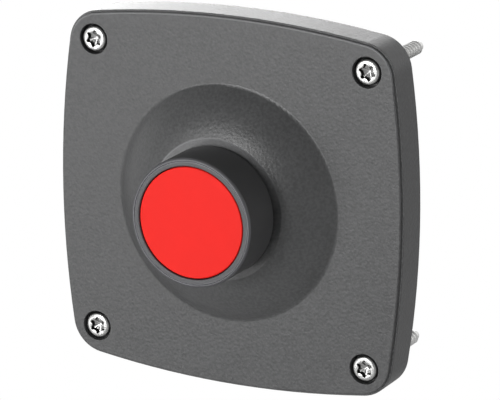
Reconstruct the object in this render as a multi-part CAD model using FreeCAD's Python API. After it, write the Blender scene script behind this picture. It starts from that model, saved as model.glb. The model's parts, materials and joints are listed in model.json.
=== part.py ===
import FreeCAD, Part
import math
import os

# Recessed push button on a square cover plate, for a wall box.
# Row frame: X to the right, Z up, -Y out of the wall towards the user's finger.
# The origin is the middle of the mounting plane, where the rim gasket meets the wall.
# All sizes are in millimetres.

V = FreeCAD.Vector
AXIS = V(0, 1, 0)

# Cover plate
plate_half = 42.5
side_arc_radius = 230.0
corner_radius = 7.5
rim_depth = 10.0
ledge_width = 0.5
ledge_depth = 0.8
front_edge_round = 0.3
ledge_edge_round = 0.12
face_wall = 2.5
rim_wall = 2.4

# Raised dome that carries the push button
dome_base_radius = 27.2
dome_top_radius = 16.4
dome_height = 5.9
dome_arc_radius = 25.0
dome_base_round = 1.1
dome_top_round = 0.3
dome_panel = 2.6

# Rim gasket, a flat strip with a tongue in a groove of the rim
gasket_stand = 0.6
gasket_inset = 0.4
gasket_strip = 1.7
tongue_width = 0.8
tongue_depth = 0.7
groove_gap = 0.05

# Cover screws, in from the plate's edges, and their counterbores and towers
screw_inset = 8.5
screw_length = 25.0
thread_radius = 1.65
thread_lead = 0.05
shank_radius = 1.35
screw_hole_gap = 0.25
head_radius = 3.0
head_height = 2.2
head_crown = 0.9
head_flat_radius = 2.05
crown_middle_inset = 0.3
crown_middle_drop = 0.27
head_sunk = 0.1
counterbore_gap = 0.5
counterbore_round = 0.15
seal_thickness = 0.5
seal_inset = 0.2
socket_radius = 1.95
flute_radius = 0.85
flute_place = 2.27
flute_count = 6
socket_depth = 1.2
tip_bevel = 0.7
tower_wall = 1.8

# Ribs behind the cover plate
rib_thickness = 1.6
rib_height = 4.5

# Barrel of the button head, with its neck through the panel
head_height_above_plate = 17.8
barrel_radius = 14.8
barrel_edge_round = 0.5
lip_wall = 0.7
lip_inner_round = 0.12
bezel_width = 1.2
well_floor = 1.5
head_gasket_thickness = 0.8
head_gasket_inset = 0.5
neck_radius = 10.9
neck_wall = 1.7
neck_length = 13.7
neck_shelf = 2.0
panel_gap = 0.35
key_width = 3.0
key_height = 1.5
key_length = 2.2
key_gap = 0.1

# Bezel ring pressed into the barrel's lip
bezel_depth = 2.6
bezel_gap = 0.06
bezel_outer_round = 0.2
bezel_inner_round = 0.25

# Washer and nut behind the dome
washer_thickness = 0.8
washer_width = 4.7
nut_thickness = 6.0
nut_wall = 2.55
nut_bevel = 0.6
thread_gap = 0.05

# Moving button: cap, plunger, seal and clip
travel = 4.0
stop_gap = 0.1
cap_gap = 0.2
cap_sunk = 0.2
cap_face = 1.6
cap_skirt_wall = 1.2
cap_edge_round = 0.25
snap_gap = 0.05
plunger_head = 2.6
guide_gap = 0.06
guide_end = 14.6
pusher_radius = 5.95
pusher_gap = 0.05
pusher_tail = 1.2
pusher_room = 0.2
clip_thickness = 0.8
clip_reach = 1.25
clip_groove_depth = 1.05
clip_mouth = 5.0
clip_gap = 0.05
seal_groove_depth = 0.9
seal_groove_width = 1.5
seal_front = 5.9
seal_squeeze_gap = 0.02
rod_seal_round = 0.35

# Return spring in the neck
spring_wire = 0.4
spring_turns = 4.0
spring_seat_gap = 0.05

# Coupling collar between the neck and the contact block
collar_wall = 3.0
collar_nut_gap = 0.2
collar_clip_gap = 0.5
collar_side = 1.0
latch_arm = 1.8
latch_gap = 0.2
latch_reach = 4.6
latch_nib = 0.6
latch_nib_depth = 1.2
collar_screw_radius = 0.9
collar_screw_head = 1.5
collar_screw_head_height = 1.2
collar_screw_slot = 0.5
collar_screw_slot_depth = 0.6
collar_screw_sink = 0.6
collar_corner = 2.0

# Contact block
block_half_width = 9.0
block_half_height = 21.0
block_depth = 24.5
block_wall = 1.5
block_corner = 1.2
slider_radius = 4.0
slider_gap = 0.06
slider_lead = 0.1
slider_flange_width = 1.2
slider_flange = 1.2
slider_rod_radius = 2.5
slider_tail_gap = 0.4
terminal_inset = 5.4
terminal_seat = 3.6
shelf_depth = 14.4
strip_thickness = 1.0
strip_half_width = 3.2
strip_inner = 6.8
strip_end_gap = 0.2
tip_radius = 1.5
tip_thickness = 0.8
tip_inset = 2.0
bridge_thickness = 0.8
bridge_half_width = 2.7
bridge_overhang = 1.8
bridge_washer_width = 1.2
bridge_washer_thickness = 0.6
rod_gap = 0.05
terminal_thread = 1.7
terminal_thread_length = 6.0
terminal_head_radius = 2.9
terminal_head_height = 1.8
terminal_slot_width = 0.8
terminal_slot_depth = 0.9
terminal_pocket_gap = 0.4
clamp_half = 3.0
clamp_thickness = 1.2
wire_window_half = 1.8
wire_window_height = 3.4
driver_gap = 0.2
cover_lip = 1.2
cover_gap = 0.08

# Springs of the contact block
bridge_spring_wire = 0.25
bridge_spring_room = 0.5
bridge_spring_turns = 4.0
contact_spring_wire = 0.3
contact_spring_room = 0.8
contact_spring_turns = 6.0

# Widths that several pieces share
outline_half = plate_half + ledge_width
screw_place = plate_half - screw_inset
screw_hole_radius = thread_radius + screw_hole_gap
counterbore_radius = head_radius + counterbore_gap
tower_radius = counterbore_radius + tower_wall
seal_radius = head_radius - seal_inset
lip_inner_radius = barrel_radius - lip_wall
well_radius = lip_inner_radius - bezel_width
head_gasket_radius = barrel_radius - head_gasket_inset
neck_bore = neck_radius - neck_wall
panel_hole_radius = neck_radius + panel_gap
nut_bore = neck_radius + thread_gap
nut_flats = 2 * (nut_bore + nut_wall)
washer_radius = neck_radius + washer_width
cap_radius = well_radius - cap_gap
pusher_hole = pusher_radius + pusher_gap
clip_radius = pusher_radius + clip_reach
clip_groove_radius = pusher_radius - clip_groove_depth
spring_radius = (pusher_radius + neck_bore) / 2
collar_hole = clip_radius + collar_clip_gap
collar_half_width = block_half_width + collar_side
slider_hole = slider_radius + slider_gap
slider_flange_radius = slider_radius + slider_flange_width
terminal_place = block_half_height - terminal_inset
terminal_shelf = terminal_place - terminal_seat
tip_place = strip_inner + tip_inset
bridge_half_length = tip_place + bridge_overhang
bridge_washer_radius = slider_rod_radius + bridge_washer_width
terminal_pocket = terminal_thread + terminal_pocket_gap
driver_hole = terminal_head_radius + driver_gap
bridge_spring_radius = slider_rod_radius + bridge_spring_room
contact_spring_radius = slider_rod_radius + contact_spring_room

# Places along Y that several pieces share
plate_front = -rim_depth
shell_back = -gasket_stand
ceiling = plate_front + face_wall
dome_top = plate_front - dome_height
panel_back = dome_top + dome_panel
head_front = plate_front - head_height_above_plate
barrel_back = dome_top - head_gasket_thickness
bezel_seat = head_front + bezel_depth
well_bottom = barrel_back - well_floor
neck_end = barrel_back + neck_length
shelf_front = neck_end - neck_shelf
washer_back = panel_back + washer_thickness
nut_back = washer_back + nut_thickness
counterbore_floor = plate_front + head_sunk + head_height + seal_thickness
screw_seat = counterbore_floor - seal_thickness
screw_tip = screw_seat + screw_length
thread_start = -thread_lead
cap_front = head_front + cap_sunk
cap_back = well_bottom - travel - stop_gap
guide_back = cap_front + guide_end
pusher_end = neck_end + pusher_tail
collar_front = nut_back + collar_nut_gap
block_front = pusher_end + travel + pusher_room
block_back = block_front + block_depth
block_inside = block_front + block_wall
cover_front = block_back - block_wall
strip_front = block_front + shelf_depth
strip_back = strip_front + strip_thickness
fixed_tip_front = strip_front - tip_thickness
bridge_tip_back = fixed_tip_front - travel - stop_gap
bridge_back = bridge_tip_back - tip_thickness
bridge_front = bridge_back - bridge_thickness
slider_flange_front = block_inside + clip_gap
slider_flange_back = slider_flange_front + slider_flange
clamp_back = strip_back + clamp_thickness


def turn_quarters(x, z, quarters):
    """The point (x, z) turned about the Y axis by so many quarter turns."""
    for _ in range(quarters):
        x, z = -z, x
    return x, z


def bowed_square(half, side_radius, corner, y):
    """A square wire at y whose sides are long arcs that bulge out and whose corners are round."""
    offset = side_radius - half
    reach = side_radius - corner
    centre = (-offset + math.sqrt(2 * reach * reach - offset * offset)) / 2
    side_end = math.atan2(centre, centre + offset)
    end_x = -offset + side_radius * math.cos(side_end)
    end_z = side_radius * math.sin(side_end)
    corner_mid = centre + corner * math.sqrt(0.5)
    edges = []
    for quarters in range(4):
        low, middle, high, bend, after = [
            V(px, y, pz)
            for px, pz in (
                turn_quarters(end_x, -end_z, quarters),
                turn_quarters(half, 0, quarters),
                turn_quarters(end_x, end_z, quarters),
                turn_quarters(corner_mid, corner_mid, quarters),
                turn_quarters(end_z, end_x, quarters),
            )
        ]
        edges.append(Part.Arc(low, middle, high).toShape())
        edges.append(Part.Arc(high, bend, after).toShape())
    return Part.Wire(edges)


def plate_slab(inset, y_low, y_high):
    """A slab between two planes, its outline set in from the outer rim by inset."""
    corner = corner_radius + ledge_width - inset
    wire = bowed_square(outline_half - inset, side_arc_radius - inset, corner, y_low)
    return Part.Face(wire).extrude(V(0, y_high - y_low, 0))


def rod(radius, y_low, y_high, x=0.0, z=0.0):
    """A round bar along Y."""
    return Part.makeCylinder(radius, y_high - y_low, V(x, y_low, z), AXIS)


def ring(outer, inner, y_low, y_high, x=0.0, z=0.0):
    """A round tube along Y."""
    return rod(outer, y_low, y_high, x, z).cut(rod(inner, y_low, y_high, x, z))


def block(half_x, half_z, y_low, y_high, x=0.0, z=0.0):
    """A box along Y, given by its half width and half height about (x, z)."""
    return Part.makeBox(2 * half_x, y_high - y_low, 2 * half_z, V(x - half_x, y_low, z - half_z))


def turned(points):
    """A solid turned about the Y axis from a closed outline of (radius, y) points.
    A point given as (radius, y, radius, y) is the middle and the end of an arc."""
    edges = []
    here = V(points[0][0], points[0][1], 0)
    for point in points[1:] + points[:1]:
        there = V(point[-2], point[-1], 0)
        if len(point) == 4:
            edges.append(Part.Arc(here, V(point[0], point[1], 0), there).toShape())
        elif here.distanceToPoint(there) > 0:
            edges.append(Part.LineSegment(here, there).toShape())
        here = there
    return Part.Face(Part.Wire(edges)).revolve(V(0, 0, 0), AXIS, 360)


def circles(shape, radius, y, reach=1e-4):
    """The round edges of a shape about the Y axis with this radius, at this y."""
    found = []
    for edge in shape.Edges:
        curve = edge.Curve
        if not isinstance(curve, Part.Circle):
            continue
        on_axis = math.hypot(curve.Center.x, curve.Center.z) < reach
        if on_axis and abs(curve.Radius - radius) < reach and abs(curve.Center.y - y) < reach:
            found.append(edge)
    return found


def flat_edges(shape, y, inside, outside, reach=1e-4):
    """The edges that lie in the plane y, with their middle between two distances from the Y axis."""
    found = []
    for edge in shape.Edges:
        box = edge.BoundBox
        middle = edge.valueAt((edge.FirstParameter + edge.LastParameter) / 2)
        distance = math.hypot(middle.x, middle.z)
        if abs(box.YMin - y) < reach and abs(box.YMax - y) < reach and inside < distance < outside:
            found.append(edge)
    return found


def corners():
    """The four places of the cover screws, as (x, z)."""
    return [(x, z) for x in (-screw_place, screw_place) for z in (-screw_place, screw_place)]


def ends():
    """The two ends of the contact block: 1 is the top, -1 is the bottom."""
    return (1, -1)


def coil(wire_radius, coil_radius, turns, y_low, y_high):
    """A helical compression spring along Y whose wire lies between two planes."""
    height = y_high - y_low - 2 * wire_radius
    helix = Part.makeLongHelix(height / turns, height, coil_radius)
    start = Part.makeCircle(wire_radius, V(coil_radius, 0, 0), V(0, 1, 0))
    spring = Part.Wire(helix.Edges).makePipeShell([Part.Wire(start)], True, True)
    spring.rotate(V(0, 0, 0), V(1, 0, 0), -90)
    spring.translate(V(0, y_low + wire_radius, 0))
    return spring


def dome_arc_centre():
    """Centre, as (radius, height), of the arc from the dome's base to the edge of its top."""
    run = dome_top_radius - dome_base_radius
    chord = math.hypot(run, dome_height)
    back = math.sqrt(dome_arc_radius ** 2 - (chord / 2) ** 2)
    middle_radius = (dome_base_radius + dome_top_radius) / 2
    return middle_radius - back * dome_height / chord, dome_height / 2 + back * run / chord


def on_arc(centre, radius, angle):
    """The point (radius, y) of the dome's section at an angle from the plate's plane."""
    return centre[0] + radius * math.cos(angle), plate_front - centre[1] - radius * math.sin(angle)


def dome_outside():
    """The outside of the dome, from its flat top down into the plate's wall.
    Small arcs round the edge of the top and the corner at the base."""
    centre = dome_arc_centre()
    top_round_height = dome_height - dome_top_round - centre[1]
    base_round_height = dome_base_round - centre[1]
    top_angle = math.asin(top_round_height / (dome_arc_radius - dome_top_round))
    base_angle = math.asin(base_round_height / (dome_arc_radius + dome_base_round))
    top_centre = (
        centre[0] + (dome_arc_radius - dome_top_round) * math.cos(top_angle),
        dome_height - dome_top_round,
    )
    base_centre = (
        centre[0] + (dome_arc_radius + dome_base_round) * math.cos(base_angle),
        dome_base_round,
    )
    right_angle = math.pi / 2
    return turned([
        (0, dome_top),
        (top_centre[0], dome_top),
        (*on_arc(top_centre, dome_top_round, (right_angle + top_angle) / 2),
         *on_arc(centre, dome_arc_radius, top_angle)),
        (*on_arc(centre, dome_arc_radius, (top_angle + base_angle) / 2),
         *on_arc(centre, dome_arc_radius, base_angle)),
        (*on_arc(base_centre, -dome_base_round, (right_angle + base_angle) / 2),
         base_centre[0], plate_front),
        (base_centre[0], ceiling),
        (0, ceiling),
    ])


def dome_inside():
    """The hollow of the dome, its curved side one wall in from the outside."""
    centre = dome_arc_centre()
    arc = dome_arc_radius - face_wall
    top_angle = math.asin((plate_front - panel_back - centre[1]) / arc)
    base_angle = math.asin((plate_front - ceiling - centre[1]) / arc)
    return turned([
        (0, panel_back),
        on_arc(centre, arc, top_angle),
        (*on_arc(centre, arc, (top_angle + base_angle) / 2), *on_arc(centre, arc, base_angle)),
        (0, ceiling),
    ])


def front_plate():
    """The moulded cover: face, rim, dome, screw towers and ribs in one piece."""
    ledge = plate_front + ledge_depth
    rim = plate_slab(0, ledge, shell_back)
    face = plate_slab(ledge_width, plate_front, ledge)
    shell = rim.fuse(face).removeSplitter()
    far = 2 * plate_half
    shell = shell.makeFillet(front_edge_round, flat_edges(shell, plate_front, plate_half - 1, far))
    shell = shell.makeFillet(ledge_edge_round, flat_edges(shell, ledge, outline_half - ledge_width / 4, far))
    shell = shell.fuse(dome_outside()).cut(plate_slab(rim_wall, ceiling, 0)).cut(dome_inside())
    towers = [rod(tower_radius, ceiling, shell_back, x, z) for x, z in corners()]
    shell = shell.fuse(plate_ribs()).fuse(towers)
    for x, z in corners():
        shell = shell.cut(rod(screw_hole_radius, plate_front, shell_back, x, z))
        shell = shell.cut(rod(counterbore_radius, plate_front, counterbore_floor, x, z))
    shell = shell.makeFillet(counterbore_round, counterbore_mouths(shell))
    shell = shell.cut(keyed_hole(dome_top, panel_back)).cut(rim_groove())
    return shell.removeSplitter()


def counterbore_mouths(shell):
    """The four round edges where the counterbores open on the face."""
    found = []
    for edge in shell.Edges:
        curve = edge.Curve
        if isinstance(curve, Part.Circle) and abs(curve.Radius - counterbore_radius) < 1e-4:
            if abs(curve.Center.y - plate_front) < 1e-4:
                found.append(edge)
    return found


def plate_ribs():
    """Four ribs that join the dome to the screw towers."""
    inner = dome_base_radius - face_wall
    outer = screw_place * math.sqrt(2)
    ribs = []
    for quarters in range(4):
        bar = Part.makeBox(outer - inner, rib_height, rib_thickness, V(inner, ceiling, -rib_thickness / 2))
        bar.rotate(V(0, 0, 0), AXIS, 45 + 90 * quarters)
        ribs.append(bar)
    return ribs


def keyed_hole(y_low, y_high):
    """A round hole for the neck of the head, with the notch that stops the head turning."""
    notch_top = panel_hole_radius + key_height
    notch_half = key_width / 2 + key_gap
    notch = Part.makeBox(2 * notch_half, y_high - y_low, notch_top, V(-notch_half, y_low, 0))
    return rod(panel_hole_radius, y_low, y_high).fuse(notch)


def rim_groove():
    """The groove in the rim's rear edge that holds the gasket's tongue."""
    middle = gasket_inset + gasket_strip / 2
    half = tongue_width / 2 + groove_gap
    floor = shell_back - tongue_depth - groove_gap
    return plate_slab(middle - half, floor, shell_back).cut(plate_slab(middle + half, floor, shell_back))


def rim_gasket():
    """The soft strip between the rim and the wall, with its tongue."""
    middle = gasket_inset + gasket_strip / 2
    half = tongue_width / 2
    hole = plate_slab(gasket_inset + gasket_strip, shell_back, 0)
    strip = plate_slab(gasket_inset, shell_back, 0).cut(hole)
    root = shell_back - tongue_depth
    tongue = plate_slab(middle - half, root, shell_back).cut(plate_slab(middle + half, root, shell_back))
    return strip.fuse(tongue).removeSplitter()


def six_lobe_socket(depth, y):
    """The six-lobed socket of a cover screw, cut inwards from y.
    It is a round hole less the flutes between its lobes."""
    tool = rod(socket_radius, y, y + depth)
    for flute in range(flute_count):
        angle = math.radians(360 / flute_count * flute)
        x = flute_place * math.cos(angle)
        z = flute_place * math.sin(angle)
        tool = tool.cut(rod(flute_radius, y, y + depth, x, z))
    return tool


def cover_screw():
    """One captive pan-head screw on the Y axis.
    Its shank is plain in the plate and threaded from the mounting plane to a bevelled tip."""
    top = screw_seat - head_height
    shoulder = top + head_crown
    body = turned([
        (0, top),
        (head_flat_radius, top),
        (head_radius - crown_middle_inset, top + crown_middle_drop, head_radius, shoulder),
        (head_radius, screw_seat),
        (shank_radius, screw_seat),
        (shank_radius, thread_start - (thread_radius - shank_radius)),
        (thread_radius, thread_start),
        (thread_radius, screw_tip - tip_bevel),
        (thread_radius - tip_bevel, screw_tip),
        (0, screw_tip),
    ])
    return body.cut(six_lobe_socket(socket_depth, top))


def at_corners(shape):
    """Four copies of a shape on the cover screws' places, as separate solids."""
    copies = []
    for x, z in corners():
        copy = shape.copy()
        copy.translate(V(x, 0, z))
        copies.append(copy)
    return Part.makeCompound(copies)


def cover_screws():
    return at_corners(cover_screw())


def screw_seals():
    return at_corners(ring(seal_radius, shank_radius + groove_gap, screw_seat, counterbore_floor))


def head_barrel():
    """The turned body of the head: lip, well for the cap, and the neck through the panel."""
    body = turned([
        (well_radius, bezel_seat),
        (lip_inner_radius, bezel_seat),
        (lip_inner_radius, head_front),
        (barrel_radius, head_front),
        (barrel_radius, barrel_back),
        (neck_radius, barrel_back),
        (neck_radius, neck_end),
        (pusher_hole, neck_end),
        (pusher_hole, shelf_front),
        (neck_bore, shelf_front),
        (neck_bore, well_bottom),
        (well_radius, well_bottom),
    ])
    body = body.makeFillet(barrel_edge_round, circles(body, barrel_radius, head_front))
    body = body.makeFillet(lip_inner_round, circles(body, lip_inner_radius, head_front))
    key = Part.makeBox(key_width, key_length, neck_radius + key_height, V(-key_width / 2, barrel_back, 0))
    key = key.cut(rod(neck_radius - key_gap, barrel_back, barrel_back + key_length))
    seat = collar_screw_seat()
    return body.fuse(key).cut(seat).removeSplitter()


def collar_screw_place():
    """The plane of the collar screw, midway along the collar's grip on the neck."""
    return (collar_front + neck_end) / 2


def collar_screw_seat():
    """The dimple in the neck for the tip of the collar screw."""
    depth = collar_screw_sink
    radius = collar_screw_radius + groove_gap
    return Part.makeCylinder(radius, depth, V(0, collar_screw_place(), -neck_radius), V(0, 0, 1))


def bezel_ring():
    """The ring set in the barrel's lip, round the cap."""
    outer = lip_inner_radius - bezel_gap
    body = ring(outer, well_radius, head_front, bezel_seat)
    body = body.makeFillet(bezel_outer_round, circles(body, outer, head_front))
    return body.makeFillet(bezel_inner_round, circles(body, well_radius, head_front))


def head_gasket():
    return rod(head_gasket_radius, barrel_back, dome_top).cut(keyed_hole(barrel_back, dome_top))


def anti_turn_washer():
    """The flat washer behind the dome's top, with a tab in the notch of the panel."""
    body = ring(washer_radius, nut_bore, panel_back, washer_back)
    tab_depth = dome_panel + head_gasket_thickness - key_length - key_gap
    low = panel_hole_radius - key_gap
    tab = Part.makeBox(
        key_width,
        tab_depth + washer_thickness,
        key_height,
        V(-key_width / 2, panel_back - tab_depth, low),
    )
    return body.fuse(tab).removeSplitter()


def lock_nut():
    """The hexagonal nut on the neck, bevelled at both ends."""
    reach = nut_flats / 2 / math.cos(math.radians(30))
    points = []
    for corner in range(7):
        angle = math.radians(60 * corner + 30)
        points.append(V(reach * math.cos(angle), washer_back, reach * math.sin(angle)))
    body = Part.Face(Part.makePolygon(points)).extrude(V(0, nut_thickness, 0))
    flat = reach - nut_bevel
    dress = turned([
        (0, washer_back),
        (flat, washer_back),
        (reach, washer_back + nut_bevel / 2),
        (reach, nut_back - nut_bevel / 2),
        (flat, nut_back),
        (0, nut_back),
    ])
    return body.common(dress).cut(rod(nut_bore, washer_back, nut_back))


def coupling_collar():
    """The collar that grips the neck and latches the contact block to it."""
    grip = ring(nut_bore + collar_wall, nut_bore, collar_front, neck_end)
    plate = block(collar_half_width, block_half_height, neck_end, block_front)
    upright = [edge for edge in plate.Edges if edge.BoundBox.YLength > (block_front - neck_end) / 2]
    plate = plate.makeFillet(collar_corner, upright)
    body = grip.fuse(plate)
    for end in ends():
        body = body.fuse(latch_arm_body(end))
    body = body.cut(rod(collar_hole, neck_end, block_front))
    return body.cut(collar_screw_bore()).removeSplitter()


def latch_arm_body(end):
    """One arm of the collar, from its plate round the end of the contact block to the latch nib."""
    inner = block_half_height + latch_gap
    outer = inner + latch_arm
    half = block_half_width / 2
    root = block(half, latch_arm, neck_end, block_front, 0, end * (outer - latch_arm))
    arm = block(half, latch_arm / 2, neck_end, block_front + latch_reach, 0, end * (inner + latch_arm / 2))
    nib_low = inner - latch_nib
    nib = block(
        half,
        (outer - nib_low) / 2,
        block_front + latch_reach - latch_nib_depth,
        block_front + latch_reach,
        0,
        end * (outer + nib_low) / 2,
    )
    return root.fuse(arm).fuse(nib)


def collar_screw_bore():
    """The radial hole in the collar for its locking screw, at the bottom."""
    radius = collar_screw_radius + groove_gap
    return Part.makeCylinder(radius, collar_wall * 2, V(0, collar_screw_place(), -neck_radius), V(0, 0, -1))


def collar_screw():
    """The small slotted screw that locks the collar on the neck."""
    place = collar_screw_place()
    tip = -neck_radius + collar_screw_sink - groove_gap
    under_head = -(nut_bore + collar_wall) - groove_gap
    shank = Part.makeCylinder(collar_screw_radius, tip - under_head, V(0, place, under_head), V(0, 0, 1))
    head = Part.makeCylinder(
        collar_screw_head,
        collar_screw_head_height,
        V(0, place, under_head - collar_screw_head_height),
        V(0, 0, 1),
    )
    slot_low = under_head - collar_screw_head_height
    slot = Part.makeBox(
        2 * collar_screw_head,
        collar_screw_slot,
        collar_screw_slot_depth,
        V(-collar_screw_head, place - collar_screw_slot / 2, slot_low),
    )
    return shank.fuse(head).cut(slot).removeSplitter()


def red_cap():
    """The coloured cup that the finger presses."""
    inner = cap_radius - cap_skirt_wall
    body = turned([
        (0, cap_front),
        (cap_radius, cap_front),
        (cap_radius, cap_back),
        (inner, cap_back),
        (inner, cap_front + cap_face),
        (0, cap_front + cap_face),
    ])
    return body.makeFillet(cap_edge_round, circles(body, cap_radius, cap_front))


def actuator():
    """The plunger: head under the cap, guide in the neck, pusher through the shelf."""
    head_top = cap_front + cap_face
    head_bottom = head_top + plunger_head
    head_edge = cap_radius - cap_skirt_wall - snap_gap
    guide = neck_bore - guide_gap
    seal_top = head_bottom + seal_front
    seal_root = guide - seal_groove_depth
    clip_front = neck_end + clip_gap
    return turned([
        (0, head_top),
        (head_edge, head_top),
        (head_edge, head_bottom),
        (guide, head_bottom),
        (guide, seal_top),
        (seal_root, seal_top),
        (seal_root, seal_top + seal_groove_width),
        (guide, seal_top + seal_groove_width),
        (guide, guide_back),
        (pusher_radius, guide_back),
        (pusher_radius, clip_front),
        (clip_groove_radius, clip_front),
        (clip_groove_radius, clip_front + clip_thickness),
        (pusher_radius, clip_front + clip_thickness),
        (pusher_radius, pusher_end),
        (0, pusher_end),
    ])


def plunger_seal():
    """The rubber ring in the plunger's groove, just clear of the neck's bore."""
    low = cap_front + cap_face + plunger_head + seal_front
    inner = neck_bore - guide_gap - seal_groove_depth
    outer = neck_bore - seal_squeeze_gap
    body = ring(outer, inner, low, low + seal_groove_width)
    body = body.makeFillet(rod_seal_round, circles(body, outer, low))
    return body.makeFillet(rod_seal_round, circles(body, outer, low + seal_groove_width))


def retaining_clip():
    """The open spring clip that keeps the plunger from coming out of the neck."""
    front = neck_end + clip_gap
    body = ring(clip_radius, clip_groove_radius, front, front + clip_thickness)
    mouth = Part.makeBox(clip_mouth, clip_thickness, clip_radius, V(-clip_mouth / 2, front, -clip_radius))
    return body.cut(mouth)


def return_spring():
    return coil(spring_wire, spring_radius, spring_turns, guide_back + spring_seat_gap, shelf_front)


def contact_housing():
    """The moulded case of the contact block, open at the rear for its cover."""
    body = block(block_half_width, block_half_height, block_front, block_back)
    upright = [edge for edge in body.Edges if edge.BoundBox.YLength > block_depth / 2]
    body = body.makeFillet(block_corner, upright)
    inner_x = block_half_width - block_wall
    inner_z = block_half_height - block_wall
    body = body.cut(block(inner_x, terminal_shelf, block_inside, block_back))
    body = body.cut(block(inner_x, inner_z, strip_front, block_back))
    body = body.cut(rod(slider_hole, block_front, block_inside))
    lip = block(inner_x + block_wall / 2, inner_z + block_wall / 2, cover_front, block_back)
    body = body.cut(lip)
    for end in ends():
        pocket_depth = terminal_thread_length + stop_gap
        pocket = rod(terminal_pocket, clamp_back - pocket_depth, strip_front, 0, end * terminal_place)
        body = body.cut(pocket).cut(wire_window(end)).cut(latch_notch(end))
    return body.removeSplitter()


def wire_window(end):
    """The square hole in one end of the case that a wire enters by."""
    middle = end * (block_half_height - block_wall / 2)
    return block(wire_window_half, block_wall, strip_back, strip_back + wire_window_height, 0, middle)


def latch_notch(end):
    """The notch in one end of the case that the collar's nib holds."""
    low = block_front + latch_reach - latch_nib_depth - groove_gap
    high = block_front + latch_reach + groove_gap
    depth = latch_nib - latch_gap + groove_gap
    half = block_half_width / 2 + groove_gap
    return block(half, depth, low, high, 0, end * block_half_height)


def contact_cover():
    """The rear plate of the contact block, with holes for the screwdriver."""
    half_x = block_half_width - block_wall / 2 - cover_gap
    half_z = block_half_height - block_wall / 2 - cover_gap
    body = block(half_x, half_z, cover_front, block_back)
    guide = ring(contact_spring_radius + cover_lip, contact_spring_radius + 2 * contact_spring_wire,
                 cover_front - cover_lip, cover_front)
    body = body.fuse(guide)
    for end in ends():
        body = body.cut(rod(driver_hole, cover_front, block_back, 0, end * terminal_place))
    return body.removeSplitter()


def fixed_contact(end):
    """One brass strip, from under the bridge to its terminal."""
    outer = block_half_height - block_wall - strip_end_gap
    middle = end * (outer + strip_inner) / 2
    body = block(strip_half_width, (outer - strip_inner) / 2, strip_front, strip_back, 0, middle)
    return body.cut(rod(terminal_thread + thread_gap, strip_front, strip_back, 0, end * terminal_place))


def fixed_tips():
    return Part.makeCompound(
        [rod(tip_radius, fixed_tip_front, strip_front, 0, end * tip_place) for end in ends()]
    )


def bridge_tips():
    return Part.makeCompound(
        [rod(tip_radius, bridge_back, bridge_tip_back, 0, end * tip_place) for end in ends()]
    )


def bridge_contact():
    """The moving brass bridge between the two strips."""
    body = block(bridge_half_width, bridge_half_length, bridge_front, bridge_back)
    upright = [edge for edge in body.Edges if edge.BoundBox.YLength > bridge_thickness / 2]
    body = body.makeFillet(bridge_half_width - rod_gap, upright)
    return body.cut(rod(slider_rod_radius - rod_gap, bridge_front, bridge_back))


def contact_plunger():
    """The slider of the contact block, pressed by the button's pusher."""
    front = pusher_end + slider_lead
    tail = cover_front - travel - slider_tail_gap
    neck = slider_rod_radius - 2 * rod_gap
    return turned([
        (0, front),
        (slider_radius, front),
        (slider_radius, slider_flange_front),
        (slider_flange_radius, slider_flange_front),
        (slider_flange_radius, slider_flange_back),
        (neck, slider_flange_back),
        (neck, tail),
        (0, tail),
    ])


def bridge_washer():
    washer_end = bridge_back + bridge_washer_thickness
    return ring(bridge_washer_radius, slider_rod_radius - rod_gap, bridge_back, washer_end)


def bridge_spring():
    low = slider_flange_back
    return coil(bridge_spring_wire, bridge_spring_radius, bridge_spring_turns, low, bridge_front)


def contact_spring():
    low = bridge_back + bridge_washer_thickness + spring_seat_gap
    return coil(contact_spring_wire, contact_spring_radius, contact_spring_turns, low, cover_front)


def terminal_screw(end):
    """One cheese-head screw that clamps a wire on its strip."""
    z = end * terminal_place
    shank = rod(terminal_thread, clamp_back - terminal_thread_length, clamp_back, 0, z)
    head = rod(terminal_head_radius, clamp_back, clamp_back + terminal_head_height, 0, z)
    slot_back = clamp_back + terminal_head_height
    slot_front = slot_back - terminal_slot_depth
    slot = block(terminal_head_radius, terminal_slot_width / 2, slot_front, slot_back, 0, z)
    return shank.fuse(head).cut(slot).removeSplitter()


def terminal_clamp(end):
    """One square plate under a terminal screw."""
    z = end * terminal_place
    body = block(clamp_half, clamp_half, strip_back, clamp_back, 0, z)
    return body.cut(rod(terminal_thread + thread_gap, strip_back, clamp_back, 0, z))


def terminal_screws():
    return Part.makeCompound([terminal_screw(end) for end in ends()])


def terminal_clamps():
    return Part.makeCompound([terminal_clamp(end) for end in ends()])


def fixed_contact_top():
    return fixed_contact(1)


def fixed_contact_bottom():
    return fixed_contact(-1)


pieces = (
    front_plate,
    rim_gasket,
    cover_screws,
    screw_seals,
    head_barrel,
    bezel_ring,
    head_gasket,
    anti_turn_washer,
    lock_nut,
    coupling_collar,
    collar_screw,
    red_cap,
    actuator,
    plunger_seal,
    retaining_clip,
    return_spring,
    contact_housing,
    contact_cover,
    fixed_contact_top,
    fixed_contact_bottom,
    fixed_tips,
    terminal_screws,
    terminal_clamps,
    contact_plunger,
    bridge_contact,
    bridge_tips,
    bridge_washer,
    bridge_spring,
    contact_spring,
)

os.makedirs("parts", exist_ok=True)
for piece in pieces:
    shape = piece()
    shape.exportStep("parts/" + piece.__name__ + ".step")
    print(piece.__name__, len(shape.Solids), "solids,", round(shape.Volume, 1), "mm3", shape.isValid())
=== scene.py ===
import json
import math

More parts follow.
